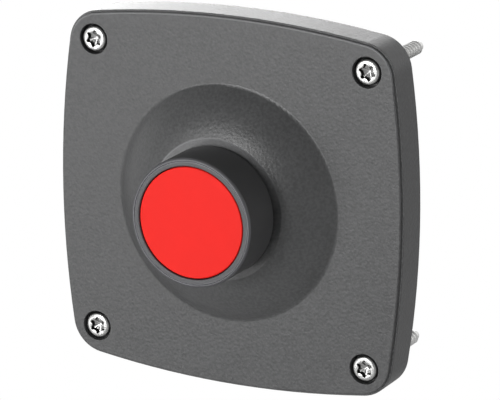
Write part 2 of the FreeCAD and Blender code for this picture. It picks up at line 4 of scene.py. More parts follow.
import bmesh
import bpy
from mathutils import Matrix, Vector


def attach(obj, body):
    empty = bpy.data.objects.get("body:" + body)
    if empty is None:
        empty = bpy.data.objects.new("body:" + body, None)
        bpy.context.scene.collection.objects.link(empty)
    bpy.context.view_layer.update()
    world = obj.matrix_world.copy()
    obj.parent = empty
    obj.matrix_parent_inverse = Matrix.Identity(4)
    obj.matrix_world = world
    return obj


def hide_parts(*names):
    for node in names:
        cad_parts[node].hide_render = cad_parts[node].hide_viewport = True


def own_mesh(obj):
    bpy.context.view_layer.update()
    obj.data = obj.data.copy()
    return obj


# Recessed push button on a square cover plate.
# The part's own frame, in metres: X to the right, Z up, -Y out of the wall towards the finger.
MM = 0.001

# Cover screws: places, turns in degrees by corner, head, six-lobe socket, shank and coarse thread
SCREW_PLACE = 34.0 * MM
SCREW_TURNS = {(-1, 1): -8, (1, 1): 16, (1, -1): 0, (-1, -1): 2}
HEAD_TOP = -9.9 * MM
HEAD_SEAT = -7.7 * MM
HEAD_RADIUS = 3.0 * MM
HEAD_FLAT = 2.05 * MM
HEAD_CROWN = 0.9 * MM
SOCKET_RADIUS = 1.95 * MM
SOCKET_DEPTH = 1.2 * MM
SOCKET_BEVEL = 0.07 * MM
SOCKET_POINT = 0.55 * MM
FLUTE_RADIUS = 0.85 * MM
FLUTE_PLACE = 2.27 * MM
FLUTE_COUNT = 6
SHANK_RADIUS = 1.35 * MM
THREAD_START = -0.05 * MM
THREAD_CORE = 1.22 * MM
THREAD_CREST = 1.65 * MM
THREAD_PITCH = 1.35 * MM
THREAD_LAND = 0.16 * MM
THREAD_ROOT = 0.74 * MM
SCREW_TIP = 17.3 * MM
TIP_ROUND = 0.35 * MM

# Terminal screws of the contact block
TERMINAL_PLACE = 15.6 * MM
TERMINAL_SEAT = 19.0 * MM
TERMINAL_TIP = 13.0 * MM
TERMINAL_HEAD_RADIUS = 2.9 * MM
TERMINAL_HEAD_TOP = 20.8 * MM
TERMINAL_CORE = 1.4 * MM
TERMINAL_CREST = 1.7 * MM
TERMINAL_PITCH = 0.6 * MM
TERMINAL_LAND = 0.08 * MM
TERMINAL_ROOT = 0.5 * MM
TERMINAL_ROUND = 0.25 * MM
TERMINAL_SLOT_HALF = 0.4 * MM
TERMINAL_SLOT_DEPTH = 0.9 * MM

# All screws: the edge under the head, how much of the core the thread leaves bare, and sharp edges
SHARP_ANGLE = math.radians(38)
SEAT_EDGE = 0.1 * MM
BARE_START = 0.3 * MM
BARE_BOTH_ENDS = 0.9 * MM

# Springs, in millimetres: wire radius, coil radius, turns, low and high end along Y
RETURN_SPRING = (0.4, 7.575, 4.0, -12.95, -5.0)
BRIDGE_SPRING = (0.25, 3.0, 4.0, 5.15, 10.3)
CONTACT_SPRING = (0.3, 3.3, 6.0, 11.75, 25.4)

# Colours of the plastics in front
PLATE_GREY = (0.070, 0.0708, 0.072)
BARREL_BLACK = (0.058, 0.058, 0.059)
BEZEL_GREY = (0.066, 0.066, 0.072)
# The groove's grey is painted light, paler than the head where shade falls round the bezel
GROOVE_PAINTED_LIGHT = (0.30, 0.30, 0.32)
CAP_RED = (1.0, 0.018, 0.0125)

# The front lip of the barrel, painted greyer as a painted highlight, and the groove between it and
# the bezel, painted paler as painted light where shade falls
LIP_BACK = -27.35 * MM
LIP_FADE = 0.15 * MM
GROOVE_RADIUS = 14.07 * MM
GROOVE_REACH = 0.3 * MM

# Outline of the plate's bowed face, one ledge in from the rim, and the flat top of its dome
LEDGE = 0.5 * MM
FACE_LEVEL = -10.0 * MM
FACE_HALF = 43.0 * MM - LEDGE
FACE_SIDE_ARC = 230.0 * MM - LEDGE
FACE_CORNER = 7.5 * MM
DOME_LEVEL = -15.9 * MM
DOME_EDGE = 16.25 * MM

# Painted highlights: the upper edges of the face and of the dome are painted paler, and the dome's
# flat top, as painted light, half as much
HIGHLIGHT_WIDTH = 0.35 * MM
HIGHLIGHT_INSET = 0.15 * MM
HIGHLIGHT_EDGE = 0.1 * MM
HIGHLIGHT_PALER = 3.1
HIGHLIGHT_FLAT = 0.5
HIGHLIGHT_FADE = 8.0 * MM
DOME_HIGHLIGHT_FROM = 2.0 * MM
FACE_HIGHLIGHT_FROM = 30.0 * MM

# Camera, at the photograph's angle
CAMERA_PLACE = (0.346589, -0.676700, 0.220697)
CAMERA_AIM = (0.005597, -0.010, 0.001457)
CAMERA_LENS = 252.0
CAMERA_SENSOR = 36.0
CAMERA_NEAR = 0.05
CAMERA_FAR = 40.0

# Studio: the floor, the even light from all round, and how mirrored rays see the front dimmer
FLOOR_PAINT = ((0.84, 0.84, 0.84), (0.88, 0.88, 0.88))
FLOOR_REACH = 12.0
FLOOR_HEIGHT = -0.28
FLOOR_NEAR = 0.35
FLOOR_FADE = 0.25
FLOOR_GLOW = 0.55
FLOOR_MIRRORED = 0.5
WORLD_LIGHT = 0.15
FRONT_DIM = 0.3
BEHIND_GAIN = 2.0
BEHIND_SHIFT = 0.8

# Soft lights: name, direction from the object, distance, width, height, power
LIGHTS = (
    ("key_front_left", (-0.45, -0.88, 0.12), 0.9, 0.50, 0.26, 1.75),
    ("key_above", (-0.30, -0.93, 0.20), 0.9, 0.30, 0.16, 1.5),
    ("sheen_front", (-0.22, -0.96, 0.0), 0.9, 0.16, 0.16, 1.15),
    ("sheen_right", (-0.13, -0.95, -0.27), 0.9, 0.16, 0.16, 0.35),
    ("fill_low", (-0.53, -0.78, -0.32), 0.9, 0.30, 0.18, 1.7),
    ("side_left", (-1.0, -0.25, 0.0), 0.9, 0.50, 0.50, 0.6),
    ("side_right", (1.0, -0.1, 0.1), 0.9, 0.55, 0.55, 1.7),
    ("rim_behind", (-0.52, 0.84, 0.12), 1.0, 0.45, 0.30, 2.3),
    ("rim_behind_high", (-0.24, 0.85, 0.44), 1.0, 0.40, 0.30, 0.7),
)


class Value:
    """A number socket of a node tree, with Python's arithmetic."""

    def __init__(self, tree, socket):
        self.tree = tree
        self.socket = socket

    def worked(self, operation, *values, clamp=False):
        node = self.tree.nodes.new("ShaderNodeMath")
        node.operation = operation
        node.use_clamp = clamp
        for slot, value in zip(node.inputs, values):
            if isinstance(value, Value):
                self.tree.links.new(value.socket, slot)
            else:
                slot.default_value = value
        return Value(self.tree, node.outputs[0])

    def __add__(self, other):
        return self.worked("ADD", self, other)

    def __radd__(self, other):
        return self.worked("ADD", other, self)

    def __sub__(self, other):
        return self.worked("SUBTRACT", self, other)

    def __rsub__(self, other):
        return self.worked("SUBTRACT", other, self)

    def __mul__(self, other):
        return self.worked("MULTIPLY", self, other)

    def __rmul__(self, other):
        return self.worked("MULTIPLY", other, self)

    def __truediv__(self, other):
        return self.worked("DIVIDE", self, other)

    def __rtruediv__(self, other):
        return self.worked("DIVIDE", other, self)

    def __pow__(self, other):
        return self.worked("POWER", self, other)

    def __mod__(self, other):
        return self.worked("FLOORED_MODULO", self, other)

    def floor(self):
        return self.worked("FLOOR", self)

    def sin(self):
        return self.worked("SINE", self)

    def cos(self):
        return self.worked("COSINE", self)

    def root(self):
        return self.worked("SQRT", self)

    def size(self):
        return self.worked("ABSOLUTE", self)

    def least(self, other):
        return self.worked("MINIMUM", self, other)

    def most(self, other):
        return self.worked("MAXIMUM", self, other)

    def over(self, other):
        return self.worked("GREATER_THAN", self, other)

    def clamped(self):
        return self.worked("ADD", self, 0.0, clamp=True)


class Tree:
    """A node tree with one method that adds any node."""

    def __init__(self, tree):
        self.tree = tree

    def add(self, kind, settings=None, inputs=None):
        node = self.tree.nodes.new(kind)
        for name, value in (settings or {}).items():
            setattr(node, name, value)
        for name, value in (inputs or {}).items():
            self.feed(found_socket(node.inputs, name), value)
        return node

    def feed(self, socket, value):
        if isinstance(value, Value):
            self.tree.links.new(value.socket, socket)
        elif isinstance(value, bpy.types.NodeSocket):
            self.tree.links.new(value, socket)
        else:
            socket.default_value = value

    def value(self, node, output=0):
        return Value(self.tree, found_socket(node.outputs, output))

    def split(self, vector):
        parts = self.add("ShaderNodeSeparateXYZ", inputs={"Vector": vector})
        return [self.value(parts, axis) for axis in ("X", "Y", "Z")]

    def joined(self, x, y, z):
        return self.add("ShaderNodeCombineXYZ", inputs={"X": x, "Y": y, "Z": z}).outputs[0]


def found_socket(sockets, name):
    """A socket by its place, its identifier or its shown name."""
    if isinstance(name, int):
        return sockets[name]
    for socket in sockets:
        if socket.identifier == name:
            return socket
    return sockets[name]


class Finish(Tree):
    """The material of one finish, read on Object coordinates."""

    def __init__(self, name, **fixed):
        self.material = bpy.data.materials.new(name)
        self.material.use_nodes = True
        super().__init__(self.material.node_tree)
        self.tree.nodes.clear()
        self.shader = self.add("ShaderNodeBsdfPrincipled")
        for socket, value in fixed.items():
            self.shader.inputs[socket.replace("_", " ")].default_value = value
        shaded = self.shader.outputs[0]
        self.output = self.add("ShaderNodeOutputMaterial", inputs={"Surface": shaded})
        self.place = self.add("ShaderNodeTexCoord").outputs["Object"]

    def stretched(self, x, y, z):
        """The place on the piece, stretched along each axis."""
        mapping = self.add(
            "ShaderNodeMapping",
            {"vector_type": "POINT"},
            {"Vector": self.place, "Scale": (x, y, z)},
        )
        return mapping.outputs[0]

    def noise(self, scale, detail=2.0, roughness=0.5, place=None):
        node = self.add(
            "ShaderNodeTexNoise",
            {"noise_dimensions": "3D"},
            {
                "Vector": place or self.place,
                "Scale": scale,
                "Detail": detail,
                "Roughness": roughness,
            },
        )
        return self.value(node)

    def cells(self, scale):
        node = self.add(
            "ShaderNodeTexVoronoi",
            {"feature": "SMOOTH_F1"},
            {"Vector": self.place, "Scale": scale, "Randomness": 1.0, "Smoothness": 0.6},
        )
        return self.value(node, "Distance")

    def colours(self, factor, low, high):
        """A colour between two plain ones."""
        return self.blended(factor, (*low, 1.0), high)

    def blended(self, factor, under, over):
        """A painted colour that gives way to a plain one by a factor."""
        node = self.add(
            "ShaderNodeMix",
            {"data_type": "RGBA"},
            {"Factor_Float": factor, "A_Color": under, "B_Color": (*over, 1.0)},
        )
        return found_socket(node.outputs, "Result_Color")

    def paint(self, colour=None, roughness=None, metallic=None):
        painted = {"Base Color": colour, "Roughness": roughness, "Metallic": metallic}
        for name, value in painted.items():
            if value is not None:
                self.feed(self.shader.inputs[name], value)

    def relief(self, height, depth):
        """A bump of this height field, depth metres deep."""
        bump = self.add(
            "ShaderNodeBump",
            inputs={"Height": height, "Distance": depth, "Strength": 1.0},
        )
        self.feed(self.shader.inputs["Normal"], bump.outputs[0])


def shade(colour, share):
    """A colour made darker or lighter by a share."""
    return tuple(min(1.0, part * share) for part in colour)


def face_inset(x, z):
    """How far a point lies in from the outline of the plate's face.

    The outline has four long arcs, which bulge out, and four round corners.
    """
    offset = FACE_SIDE_ARC - FACE_HALF
    reach = FACE_SIDE_ARC - FACE_CORNER
    centre = (math.sqrt(2 * reach ** 2 - offset ** 2) - offset) / 2
    across = x.size()
    up = z.size()
    from_side = FACE_SIDE_ARC - ((across + offset) ** 2.0 + z * z).root()
    from_top = FACE_SIDE_ARC - ((up + offset) ** 2.0 + x * x).root()
    from_arcs = from_side.least(from_top)
    past_x = (across - centre).most(0.0)
    past_z = (up - centre).most(0.0)
    from_bend = FACE_CORNER - (past_x * past_x + past_z * past_z).root()
    lean = centre / (centre + offset)
    in_corner = (past_z - past_x * lean).over(0.0) * (past_x - past_z * lean).over(0.0)
    return from_arcs + (from_bend - from_arcs) * in_corner


def upper_edges_painted_highlight(finish, painted):
    """The plate's colour, paler on the upper edges of its face and of its dome as painted
    highlights, and on the dome's flat top as painted light.
    """
    x, y, z = finish.split(finish.place)
    radius = (x * x + z * z).root()
    dome_line = (1.0 - (radius - DOME_EDGE).size() / HIGHLIGHT_WIDTH).clamped()
    dome_flat = ((DOME_EDGE - radius) / HIGHLIGHT_EDGE).clamped() * HIGHLIGHT_FLAT
    on_dome = ((DOME_LEVEL + HIGHLIGHT_WIDTH - y) / HIGHLIGHT_EDGE).clamped()
    high_on_dome = on_dome * ((z - DOME_HIGHLIGHT_FROM) / HIGHLIGHT_FADE).clamped()
    face_line = (1.0 - (face_inset(x, z) - HIGHLIGHT_INSET).size() / HIGHLIGHT_WIDTH).clamped()
    on_face = ((FACE_LEVEL + HIGHLIGHT_WIDTH - y) / HIGHLIGHT_EDGE).clamped()
    high_on_face = on_face * ((z - FACE_HIGHLIGHT_FROM) / HIGHLIGHT_FADE).clamped()
    # Share of the paler grey: painted highlights on the upper edges, painted light on the dome's
    # flat top.
    painted_light_share = (dome_line.most(dome_flat) * high_on_dome).most(face_line * high_on_face)
    return finish.blended(painted_light_share, painted, shade(PLATE_GREY, HIGHLIGHT_PALER))


def lip_and_groove_painted_light(finish, painted):
    """The head's colour, greyer on the front lip as a painted highlight, and paler in the groove
    round the bezel as painted light where shade falls.
    """
    x, y, z = finish.split(finish.place)
    radius = (x * x + z * z).root()
    lip = ((LIP_BACK - y) / LIP_FADE).clamped()
    groove = (1.0 - (radius - GROOVE_RADIUS).size() / GROOVE_REACH).clamped()
    # Painted highlight on the front lip, then painted light in the groove.
    grey = finish.blended(lip, painted, BEZEL_GREY)
    return finish.blended(groove * lip, grey, GROOVE_PAINTED_LIGHT)


def grained_plastic(name, colour, roughness, grain, depth, mottling, specular, tinted=None):
    """A moulding with a spark-eroded grain, faint clouds and flow marks."""
    finish = Finish(name, Specular_IOR_Level=specular)
    clouds = finish.noise(90.0, 3.0, 0.55)
    speckle = finish.noise(grain, 1.0, 0.5)
    factor = 0.5 + (clouds - 0.5) * 0.8 + (speckle - 0.5) * 3.0
    low = shade(colour, 1 - mottling)
    high = shade(colour, 1 + mottling)
    painted = finish.colours(factor.clamped(), low, high)
    finish.paint(
        colour=tinted(finish, painted) if tinted else painted,
        roughness=(roughness - 0.06 + clouds * 0.06 + speckle * 0.08).clamped(),
    )
    coarse = finish.cells(grain)
    fine = finish.noise(grain * 2.6, 2.0, 0.6)
    finish.relief(coarse * 0.45 + speckle * 0.4 + fine * 0.15, depth)
    return finish.material


def smooth_plastic(name, colour, roughness, specular, flow=(1.0, 1.0, 1.0), tinted=None):
    """A smooth moulding with a faint orange-peel and slow flow marks."""
    finish = Finish(name, Specular_IOR_Level=specular)
    marks = finish.noise(160.0, 3.0, 0.5, finish.stretched(*flow))
    fine = finish.noise(2600.0, 2.0, 0.5)
    painted = finish.colours(marks, shade(colour, 0.94), shade(colour, 1.06))
    finish.paint(
        colour=tinted(finish, painted) if tinted else painted,
        roughness=(roughness - 0.04 + marks * 0.05 + fine * 0.03).clamped(),
    )
    finish.relief(marks * 0.5 + fine * 0.5, 0.006 * MM)
    return finish.material


def rubber(name, colour):
    """Soft black rubber with a dusty bloom."""
    finish = Finish(name, Specular_IOR_Level=0.25)
    bloom = finish.noise(700.0, 4.0, 0.6)
    finish.paint(
        colour=finish.colours(bloom, shade(colour, 0.75), shade(colour, 1.6)),
        roughness=(0.66 + bloom * 0.2).clamped(),
    )
    finish.relief(finish.noise(3200.0, 3.0, 0.6), 0.02 * MM)
    return finish.material


def worked_metal(name, colour, roughness, line_scale, stretch, depth):
    """Metal with fine lines from drawing, rolling or turning."""
    finish = Finish(name)
    lines = finish.noise(line_scale, 3.0, 0.65, finish.stretched(*stretch))
    haze = finish.noise(420.0, 2.0, 0.5)
    finish.paint(
        colour=finish.colours(lines * 0.6 + haze * 0.4, shade(colour, 0.86), shade(colour, 1.08)),
        roughness=(roughness - 0.05 + lines * 0.08 + haze * 0.06).clamped(),
        metallic=1.0,
    )
    finish.relief(lines, depth)
    return finish.material


def screw_steel():
    """Bright stainless steel, with the rings that turning leaves round each screw's own axis."""
    finish = Finish("screw_stainless")
    x, y, z = finish.split(finish.place)
    off_x = x.size() - SCREW_PLACE
    off_z = z.size() - SCREW_PLACE
    radius = (off_x * off_x + off_z * off_z).root()
    ring_waves = 42000.0
    rings = (radius * ring_waves).sin() * 0.5 + 0.5
    grit = finish.noise(5200.0, 3.0, 0.6)
    haze = finish.noise(900.0, 2.0, 0.5)
    bright = finish.colours(haze, (0.42, 0.42, 0.415), (0.56, 0.56, 0.55))
    face_fade = 0.10 * MM
    floor_gap = 0.02 * MM
    floor_fade = 0.06 * MM
    thread_fade = 0.5 * MM
    slack = 0.03 * MM
    below_face = ((y - HEAD_TOP - face_fade) / face_fade).clamped()
    above_floor = ((HEAD_TOP + SOCKET_DEPTH - floor_gap - y) / floor_fade).clamped()
    # Painted shade: the walls of the socket are painted near black, standing in for the shade inside
    # it.
    socket_wall = below_face * above_floor * (1.0 - radius.over(SOCKET_RADIUS + slack))
    thread = ((y - THREAD_START) / thread_fade + 1.0).clamped()
    rolled = finish.blended(thread, bright, (0.80, 0.80, 0.79))
    finish.paint(
        colour=finish.blended(socket_wall, rolled, (0.035, 0.034, 0.032)),
        roughness=(0.2 + grit * 0.1 + haze * 0.08 + socket_wall * 0.15 + thread * 0.22).clamped(),
        metallic=1.0,
    )
    finish.relief(rings * 0.35 + grit * 0.65, 0.008 * MM)
    return finish.material


def made_finishes():
    """Every finish of the object, by the record's slot."""
    along_y = (1.0, 0.2, 1.0)
    return {
        "plate_plastic": grained_plastic(
            "plate_grained",
            PLATE_GREY,
            roughness=0.36,
            grain=1550.0,
            depth=0.07 * MM,
            mottling=0.16,
            specular=0.456,
            # Painted highlights on the plate's upper edges and painted light on the dome's flat top
            tinted=upper_edges_painted_highlight,
        ),
        "barrel_plastic": smooth_plastic(
            "barrel_satin_black",
            BARREL_BLACK,
            roughness=0.42,
            specular=0.43,
            # Painted highlight on the front lip and painted light in the groove
            tinted=lip_and_groove_painted_light,
        ),
        "bezel_plastic": smooth_plastic(
            # Painted highlight on the front lip and painted light in the groove
            "bezel_grey", BEZEL_GREY, roughness=0.36, specular=0.5, tinted=lip_and_groove_painted_light
        ),
        "cap_plastic": smooth_plastic("cap_red", CAP_RED, roughness=0.5, specular=0.15),
        "plunger_plastic": smooth_plastic(
            "plunger_black", (0.045, 0.045, 0.045), roughness=0.5, specular=0.4, flow=along_y
        ),
        "nut_plastic": grained_plastic(
            "nut_glass_filled",
            (0.05, 0.05, 0.05),
            roughness=0.6,
            grain=1800.0,
            depth=0.03 * MM,
            mottling=0.2,
            specular=0.4,
        ),
        "collar_plastic": grained_plastic(
            "collar_grey",
            (0.08, 0.08, 0.08),
            roughness=0.55,
            grain=2600.0,
            depth=0.03 * MM,
            mottling=0.12,
            specular=0.4,
        ),
        "block_plastic": grained_plastic(
            "block_light_grey",
            (0.50, 0.50, 0.48),
            roughness=0.5,
            grain=2400.0,
            depth=0.02 * MM,
            mottling=0.05,
            specular=0.4,
        ),
        "slider_plastic": smooth_plastic(
            "slider_natural", (0.70, 0.68, 0.62), roughness=0.45, specular=0.4, flow=along_y
        ),
        "seal_rubber": rubber("seal_black", (0.018, 0.018, 0.018)),
        "screw_steel": screw_steel(),
        "plated_steel": worked_metal(
            "zinc_plated",
            (0.66, 0.66, 0.62),
            roughness=0.3,
            line_scale=1500.0,
            stretch=(1.0, 3.0, 1.0),
            depth=0.01 * MM,
        ),
        "spring_steel": worked_metal(
            "spring_wire",
            (0.52, 0.52, 0.53),
            roughness=0.3,
            line_scale=2400.0,
            stretch=(0.4, 3.0, 0.4),
            depth=0.01 * MM,
        ),
        "contact_brass": worked_metal(
            "rolled_brass",
            (0.75, 0.55, 0.26),
            roughness=0.3,
            line_scale=1800.0,
            stretch=(4.0, 1.0, 0.3),
            depth=0.008 * MM,
        ),
        "contact_silver": worked_metal(
            "contact_alloy",
            (0.82, 0.82, 0.80),
            roughness=0.22,
            line_scale=2200.0,
            stretch=(1.0, 1.0, 1.0),
            depth=0.006 * MM,
        ),
    }


def new_piece(name, mesh, finish):
    piece = bpy.data.objects.new(name, mesh)
    bpy.context.scene.collection.objects.link(piece)
    if finish is not None:
        mesh.materials.clear()
        mesh.materials.append(finish)
    return piece


def turned_mesh(name, loops, steps):
    """A closed mesh from loops round the Y axis, from pole to pole.

    A loop is (radius, y), and a radius may be a function of the angle.
    The first and last loop have no radius.
    """
    shape = bmesh.new()
    rows = []
    for radius, y in loops:
        if radius == 0:
            rows.append([shape.verts.new((0, y, 0))])
            continue
        row = []
        for step in range(steps):
            angle = 2 * math.pi * step / steps
            reach = radius(angle) if callable(radius) else radius
            row.append(shape.verts.new((reach * math.cos(angle), y, reach * math.sin(angle))))
        rows.append(row)
    for low, high in zip(rows, rows[1:]):
        for step in range(steps):
            after = (step + 1) % steps
            if len(low) == 1:
                shape.faces.new((low[0], high[step], high[after]))
            elif len(high) == 1:
                shape.faces.new((low[step], high[0], low[after]))
            else:
                shape.faces.new((low[step], high[step], high[after], low[after]))
    bmesh.ops.recalc_face_normals(shape, faces=shape.faces)
    for face in shape.faces:
        face.smooth = True
    mesh = bpy.data.meshes.new(name)
    shape.to_mesh(mesh)
    shape.free()
    return mesh


def rounded(start, corner, end, steps=4):
    """Loops along the round corner from start to end, each a (radius, y)."""
    found = []
    for step in range(steps + 1):
        share = step / steps
        weights = ((1 - share) ** 2, 2 * share * (1 - share), share ** 2)
        points = (start, corner, end)
        found.append(tuple(sum(w * p[axis] for w, p in zip(weights, points)) for axis in (0, 1)))
    return found


def star(share, grow=0.0):
    """The radius of the six-lobe socket as a function of the angle, scaled and then grown."""

    def radius(angle):
        step = 2 * math.pi / FLUTE_COUNT
        off = (angle + step / 2) % step - step / 2
        reach = SOCKET_RADIUS
        across = FLUTE_RADIUS ** 2 - (FLUTE_PLACE * math.sin(off)) ** 2
        if across > 0:
            reach = min(reach, FLUTE_PLACE * math.cos(off) - math.sqrt(across))
        return reach * share + grow

    return radius


def cover_screw_mesh():
    """The head, socket, shank and core of a cover screw."""
    bevel = SOCKET_BEVEL
    lead = 0.25 * MM
    point_radius = 0.3 * MM
    point_blunt = 0.05 * MM
    socket_floor = HEAD_TOP + SOCKET_DEPTH
    loops = [
        (0, socket_floor + SOCKET_POINT),
        (point_radius, socket_floor + SOCKET_POINT - point_blunt),
        (star(0.62), socket_floor + 0.2 * MM),
        (star(0.93), socket_floor),
        (star(0.96), HEAD_TOP + SOCKET_DEPTH * 0.5),
        (star(1.0), HEAD_TOP + 2.5 * bevel),
        (star(1.0), HEAD_TOP + bevel),
        (star(1.0, 0.45 * bevel), HEAD_TOP + 0.3 * bevel),
        (star(1.0, bevel), HEAD_TOP),
    ]
    loops += rounded(
        (HEAD_FLAT, HEAD_TOP),
        (HEAD_RADIUS, HEAD_TOP),
        (HEAD_RADIUS, HEAD_TOP + HEAD_CROWN),
        8,
    )
    loops += [
        (HEAD_RADIUS, HEAD_SEAT - SEAT_EDGE),
        (HEAD_RADIUS - SEAT_EDGE, HEAD_SEAT),
    ]
    loops += rounded(
        (SHANK_RADIUS + lead, HEAD_SEAT),
        (SHANK_RADIUS, HEAD_SEAT),
        (SHANK_RADIUS, HEAD_SEAT + lead),
    )
    loops += [
        (SHANK_RADIUS, THREAD_START - lead),
        (THREAD_CORE, THREAD_START),
        (THREAD_CORE, SCREW_TIP - TIP_ROUND),
    ]
    loops += rounded(
        (THREAD_CORE, SCREW_TIP - TIP_ROUND),
        (THREAD_CORE, SCREW_TIP),
        (THREAD_CORE - TIP_ROUND, SCREW_TIP),
        3,
    )[1:]
    loops.append((0, SCREW_TIP))
    return turned_mesh("cover_screw_body", loops, 96)


def terminal_screw_mesh():
    """The head, driver slot and core of a terminal screw."""
    loops = [
        (0, TERMINAL_TIP),
        (TERMINAL_CORE - TERMINAL_ROUND, TERMINAL_TIP),
        (TERMINAL_CORE, TERMINAL_TIP + TERMINAL_ROUND),
        (TERMINAL_CORE, TERMINAL_SEAT),
        (TERMINAL_HEAD_RADIUS - SEAT_EDGE, TERMINAL_SEAT),
        (TERMINAL_HEAD_RADIUS, TERMINAL_SEAT + SEAT_EDGE),
    ]
    loops += rounded(
        (TERMINAL_HEAD_RADIUS, TERMINAL_HEAD_TOP - TERMINAL_ROUND),
        (TERMINAL_HEAD_RADIUS, TERMINAL_HEAD_TOP),
        (TERMINAL_HEAD_RADIUS - TERMINAL_ROUND, TERMINAL_HEAD_TOP),
    )
    loops.append((0, TERMINAL_HEAD_TOP))
    mesh = turned_mesh("terminal_screw_body", loops, 64)
    body = new_piece("terminal_screw_uncut", mesh, None)
    slot = bmesh.new()
    bmesh.ops.create_cube(slot, size=1.0)
    reach = TERMINAL_HEAD_RADIUS * 2.2
    slot_size = (reach, 2 * TERMINAL_SLOT_DEPTH, 2 * TERMINAL_SLOT_HALF)
    bmesh.ops.scale(slot, vec=slot_size, verts=slot.verts)
    bmesh.ops.translate(slot, vec=(0, TERMINAL_HEAD_TOP, 0), verts=slot.verts)
    cutter_mesh = bpy.data.meshes.new("terminal_slot")
    slot.to_mesh(cutter_mesh)
    slot.free()
    cutter = new_piece("terminal_slot_cutter", cutter_mesh, None)
    cut = body.modifiers.new("slot", "BOOLEAN")
    cut.operation = "DIFFERENCE"
    cut.solver = "EXACT"
    cut.object = cutter
    made = evaluated_mesh(body)
    bpy.data.objects.remove(body)
    bpy.data.objects.remove(cutter)
    return made


def evaluated_mesh(piece):
    """The plain mesh that a piece and its modifiers give."""
    bpy.context.view_layer.update()
    graph = bpy.context.evaluated_depsgraph_get()
    return bpy.data.meshes.new_from_object(piece.evaluated_get(graph), depsgraph=graph)


class Shape(Tree):
    """A Geometry Nodes tree with named inputs."""

    KINDS = {
        "float": "NodeSocketFloat",
        "int": "NodeSocketInt",
        "object": "NodeSocketObject",
        "material": "NodeSocketMaterial",
        "geometry": "NodeSocketGeometry",
    }

    def __init__(self, name, inputs):
        super().__init__(bpy.data.node_groups.new(name, "GeometryNodeTree"))
        face = self.tree.interface
        for label, kind in {"Geometry": "geometry", **inputs, "Material": "material"}.items():
            face.new_socket(label, in_out="INPUT", socket_type=self.KINDS[kind])
        face.new_socket("Geometry", in_out="OUTPUT", socket_type=self.KINDS["geometry"])
        self.given = self.add("NodeGroupInput")

    def number(self, label):
        return self.value(self.given, label)

    def whole(self, value):
        """A count from a number."""
        return self.add("FunctionNodeFloatToInt", {"rounding_mode": "ROUND"}, {0: value}).outputs[0]

    def placed(self, geometry, position):
        node = self.add(
            "GeometryNodeSetPosition",
            inputs={"Geometry": geometry, "Position": position},
        )
        return node.outputs[0]

    def close(self, geometry):
        """Ends the tree with real geometry in one material."""
        real = self.add("GeometryNodeRealizeInstances", inputs={"Geometry": geometry})
        coated = self.add(
            "GeometryNodeSetMaterial",
            inputs={"Geometry": real.outputs[0], "Material": self.given.outputs["Material"]},
        )
        self.add("NodeGroupOutput", inputs={"Geometry": coated.outputs[0]})


def grown(name, start, shape, sizes, finish):
    """A plain mesh piece that a Geometry Nodes tree makes from a start mesh."""
    holder = new_piece(name + "_start", start, None)
    growth = holder.modifiers.new("growth", "NODES")
    growth.node_group = shape.tree
    for item in shape.tree.interface.items_tree:
        if item.in_out == "INPUT" and item.name in sizes:
            growth[item.identifier] = sizes[item.name]
        elif item.in_out == "INPUT" and item.name == "Material":
            growth[item.identifier] = finish
    mesh = evaluated_mesh(holder)
    bpy.data.objects.remove(holder)
    mesh.name = name
    mesh.set_sharp_from_angle(angle=SHARP_ANGLE)
    return new_piece(name, mesh, finish)


def threaded_shape():
    """The tree that winds a thread round a screw's core and sets the screws at their points."""
    shape = Shape(
        "threaded_screws",
        {
            "Body": "object",
            "Core Radius": "float",
            "Crest Radius": "float",
            "Pitch": "float",
            "Thread Start": "float",
            "Thread Length": "float",
            "Crest Width": "float",
            "Root Width": "float",
            "Runout Turns": "float",
            "Steps Per Turn": "int",
        },
    )
    core = shape.number("Core Radius")
    crest = shape.number("Crest Radius")
    pitch = shape.number("Pitch")
    start = shape.number("Thread Start")
    length = shape.number("Thread Length")
    crest_width = shape.number("Crest Width")
    root_width = shape.number("Root Width")
    runout = shape.number("Runout Turns")
    steps = shape.number("Steps Per Turn")
    turns = length / pitch
    # A section of the ridge: root, crest, crest, root, and the first root again, to close it.
    side_count = 5
    grid = shape.add(
        "GeometryNodeMeshGrid",
        inputs={"Vertices X": shape.whole(turns * steps + 1.0), "Vertices Y": side_count},
    )
    index = shape.value(shape.add("GeometryNodeInputIndex"))
    along = (index / float(side_count)).floor()
    side = index % float(side_count)
    turn = along / steps
    fade = (turn / runout).least((turns - turn) / runout).clamped()
    on_crest = side.over(0.5) * (1.0 - side.over(2.5))
    after_middle = side.over(1.5) * (1.0 - side.over(3.5))
    width = (root_width + (crest_width - root_width) * on_crest) * (after_middle - 0.5) * fade
    sunk = 0.06 * MM
    reach = core - sunk + (crest - core + sunk) * on_crest * fade
    angle = turn * (2 * math.pi)
    position = shape.joined(angle.sin() * reach, start + turn * pitch + width, angle.cos() * reach)
    ridge = shape.placed(grid.outputs["Mesh"], position)
    closed = shape.add(
        "GeometryNodeMergeByDistance",
        inputs={"Geometry": ridge, "Distance": 0.001 * MM},
    )
    smooth = shape.add("GeometryNodeSetShadeSmooth", inputs={"Geometry": closed.outputs[0]})
    body = shape.add("GeometryNodeObjectInfo", inputs={"Object": shape.given.outputs["Body"]})
    screw = shape.add("GeometryNodeJoinGeometry")
    shape.tree.links.new(smooth.outputs[0], screw.inputs[0])
    shape.tree.links.new(body.outputs["Geometry"], screw.inputs[0])
    turn_name = shape.add(
        "GeometryNodeInputNamedAttribute",
        {"data_type": "FLOAT"},
        {"Name": "turn"},
    )
    turned = shape.add(
        "FunctionNodeEulerToRotation",
        inputs={"Euler": shape.joined(0.0, turn_name.outputs[0], 0.0)},
    )
    points = shape.add("GeometryNodeMeshToPoints", inputs={"Mesh": shape.given.outputs["Geometry"]})
    copies = shape.add(
        "GeometryNodeInstanceOnPoints",
        inputs={
            "Points": points.outputs[0],
            "Instance": screw.outputs[0],
            "Rotation": turned.outputs[0],
        },
    )
    shape.close(copies.outputs[0])
    return shape


